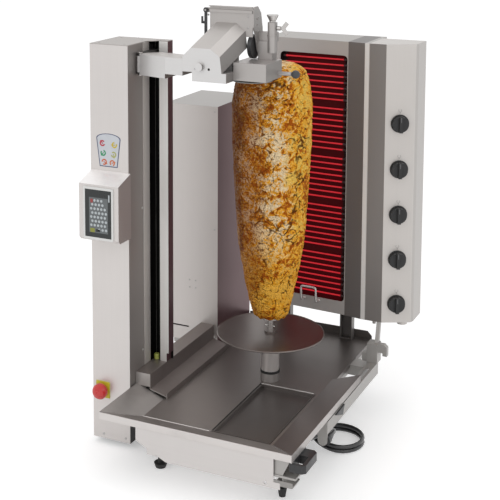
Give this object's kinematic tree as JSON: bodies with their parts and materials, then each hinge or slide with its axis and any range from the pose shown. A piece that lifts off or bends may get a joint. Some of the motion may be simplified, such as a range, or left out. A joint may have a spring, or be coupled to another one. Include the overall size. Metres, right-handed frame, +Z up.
{
  "type": "electric skewer grill",
  "caption": "Vertical skewer grill with a turning meat skewer, a sliding radiant heater wall with control knobs, a lifting cutter head on a column, and a drip drawer under its deck.",
  "frame": {"origin": "on the table, under the middle of the machine's outline", "axes": "+X to the right along the front, +Y to the back, +Z up"},
  "size_m": [0.698, 0.812, 1.1595],
  "materials": {
    "casing_steel": "fine vertical brushing",
    "machined_steel": "turned, polished",
    "head_steel": "fine brushing, folded edges",
    "blade_steel": "ground, dark",
    "carriage_casting": "dark anodised",
    "motor_casting": "black paint",
    "black_plastic": "fine grained, satin",
    "knob_plastic": "satin",
    "bezel_plastic": "white satin",
    "yellow_plate": "satin",
    "red_plastic": "semi gloss",
    "roast_meat": "roasted, moist, irregular layers",
    "deck_steel": "brushed, warm reflections",
    "drawer_steel": "fine brushing",
    "seal_rubber": "matte",
    "frame_steel": "mill finish",
    "heater_steel": "brushed",
    "reflector_black": "matte black, heat proof",
    "glowing_tubes": "glowing red",
    "control_steel": "fine brushing",
    "cord_rubber": "satin black"
  },
  "bodies": {
    "root": {"column_casing": "casing_steel", "column_top_plate": "casing_steel", "column_post": "casing_steel", "guide_rods": "machined_steel", "lift_motor": "motor_casting", "display_housing": "casing_steel", "display_bezel": "bezel_plastic", "display_glass": "black_plastic", "estop_plate": "yellow_plate", "seal_ring": "seal_rubber", "skewer_motor": "motor_casting", "deck_pan": "deck_steel", "side_chute": "casing_steel", "box_beam": "casing_steel", "base_frame": "frame_steel", "side_handle": "black_plastic", "feet": "seal_rubber", "power_box": "casing_steel", "power_box_cover": "casing_steel", "cable_gland": "black_plastic", "cord_lead": "cord_rubber", "cord_coil": "cord_rubber", "cord_tail": "cord_rubber", "power_plug": "black_plastic", "screws": "machined_steel"},
    "lead_screw": {"lead_screw": "machined_steel"},
    "carriage": {"carriage": "carriage_casting", "pivot_pin": "machined_steel"},
    "cutter_head": {"swing_arm": "head_steel", "cutter_housing": "head_steel", "cutter_back_plate": "head_steel", "blade_guard": "head_steel", "blade_drive": "black_plastic", "gauge_beam": "head_steel", "adjuster_block": "head_steel"},
    "cutter_latch": {"cutter_latch": "black_plastic"},
    "cutter_blade": {"cutter_blade": "blade_steel"},
    "gauge_roller": {"gauge_roller": "black_plastic"},
    "adjuster_knob": {"adjuster_knob": "machined_steel"},
    "wing_screw": {"wing_screw": "machined_steel"},
    "drive_sleeve": {"drive_sleeve": "deck_steel"},
    "skewer": {"skewer": "machined_steel", "meat": "roast_meat", "drip_disc": "deck_steel"},
    "juice_pan": {"juice_pan": "deck_steel"},
    "drip_drawer": {"drip_drawer": "drawer_steel"},
    "heater": {"heater_shell": "heater_steel", "heater_reflector": "reflector_black", "heating_elements": "glowing_tubes", "heater_handle": "heater_steel", "heater_legs": "heater_steel", "control_box": "control_steel", "rail_clamp": "frame_steel"},
    "knob_1": {"knob_1": "knob_plastic"},
    "knob_2": {"knob_2": "knob_plastic"},
    "knob_3": {"knob_3": "knob_plastic"},
    "knob_4": {"knob_4": "knob_plastic"},
    "knob_5": {"knob_5": "knob_plastic"},
    "estop_button": {"estop_button": "red_plastic"},
    "lock_lever": {"lock_lever": "black_plastic"}
  },
  "joints": [
    {"name": "carriage_lift", "type": "slide", "parent": "root", "child": "carriage", "axis": [0, 0, 1], "range_m": [-0.62, 0]},
    {"name": "screw_turn", "type": "hinge", "parent": "root", "child": "lead_screw", "pos_m": [-0.291, -0.15, 0.5], "axis": [0, 0, 1], "range_deg": [-5600, 0]},
    {"name": "arm_swing", "type": "hinge", "parent": "carriage", "child": "cutter_head", "pos_m": [-0.228, -0.201, 1.004], "axis": [0, 0, 1], "range_deg": [-35, 0]},
    {"name": "latch_swing", "type": "hinge", "parent": "cutter_head", "child": "cutter_latch", "pos_m": [-0.068, -0.153, 1.144], "axis": [0, 1, 0], "range_deg": [0, 80]},
    {"name": "blade_spin", "type": "hinge", "parent": "cutter_head", "child": "cutter_blade", "pos_m": [0.058, -0.15, 0.977], "axis": [0, 0, 1], "continuous": true},
    {"name": "roller_spin", "type": "hinge", "parent": "cutter_head", "child": "gauge_roller", "pos_m": [0.1607, -0.125, 0.994], "axis": [1, 0, 0], "continuous": true},
    {"name": "adjuster_pull", "type": "slide", "parent": "cutter_head", "child": "adjuster_knob", "axis": [0, 0, 1], "range_m": [0, 0.008], "stiffness_N_per_m": 600, "springref_m": -0.006},
    {"name": "wing_turn", "type": "hinge", "parent": "cutter_head", "child": "wing_screw", "pos_m": [0.115, -0.12, 1.104], "axis": [1, 0, 0], "continuous": true},
    {"name": "skewer_spin", "type": "hinge", "parent": "root", "child": "drive_sleeve", "pos_m": [0.04, 0.019, 0.2], "axis": [0, 0, 1], "continuous": true},
    {"name": "skewer_lift", "type": "slide", "parent": "drive_sleeve", "child": "skewer", "axis": [0, 0, 1], "range_m": [0, 0.09]},
    {"name": "juice_pan_lift", "type": "slide", "parent": "root", "child": "juice_pan", "axis": [0, 0, 1], "range_m": [0, 0.11]},
    {"name": "drawer_slide", "type": "slide", "parent": "root", "child": "drip_drawer", "axis": [0, -1, 0], "range_m": [0, 0.24]},
    {"name": "heater_slide", "type": "slide", "parent": "root", "child": "heater", "axis": [0, 1, 0], "range_m": [-0.055, 0]},
    {"name": "knob_1_turn", "type": "hinge", "parent": "heater", "child": "knob_1", "pos_m": [0.309, 0.267, 0.312], "axis": [0.4573, -0.8893, 0], "range_deg": [0, 270]},
    {"name": "knob_2_turn", "type": "hinge", "parent": "heater", "child": "knob_2", "pos_m": [0.309, 0.267, 0.4375], "axis": [0.4573, -0.8893, 0], "range_deg": [0, 270]},
    {"name": "knob_3_turn", "type": "hinge", "parent": "heater", "child": "knob_3", "pos_m": [0.309, 0.267, 0.563], "axis": [0.4573, -0.8893, 0], "range_deg": [0, 270]},
    {"name": "knob_4_turn", "type": "hinge", "parent": "heater", "child": "knob_4", "pos_m": [0.309, 0.267, 0.6885], "axis": [0.4573, -0.8893, 0], "range_deg": [0, 270]},
    {"name": "knob_5_turn", "type": "hinge", "parent": "heater", "child": "knob_5", "pos_m": [0.309, 0.267, 0.814], "axis": [0.4573, -0.8893, 0], "range_deg": [0, 270]},
    {"name": "estop_press", "type": "slide", "parent": "root", "child": "estop_button", "axis": [0, 1, 0], "range_m": [0, 0.004]},
    {"name": "lock_turn", "type": "hinge", "parent": "root", "child": "lock_lever", "pos_m": [0.273, -0.073, 0.138], "axis": [1, 0, 0], "range_deg": [0, 90]}
  ],
  "couplings": [
    {"joint": "screw_turn", "follows": "carriage_lift", "rad_per_m": 157.08}
  ]
}
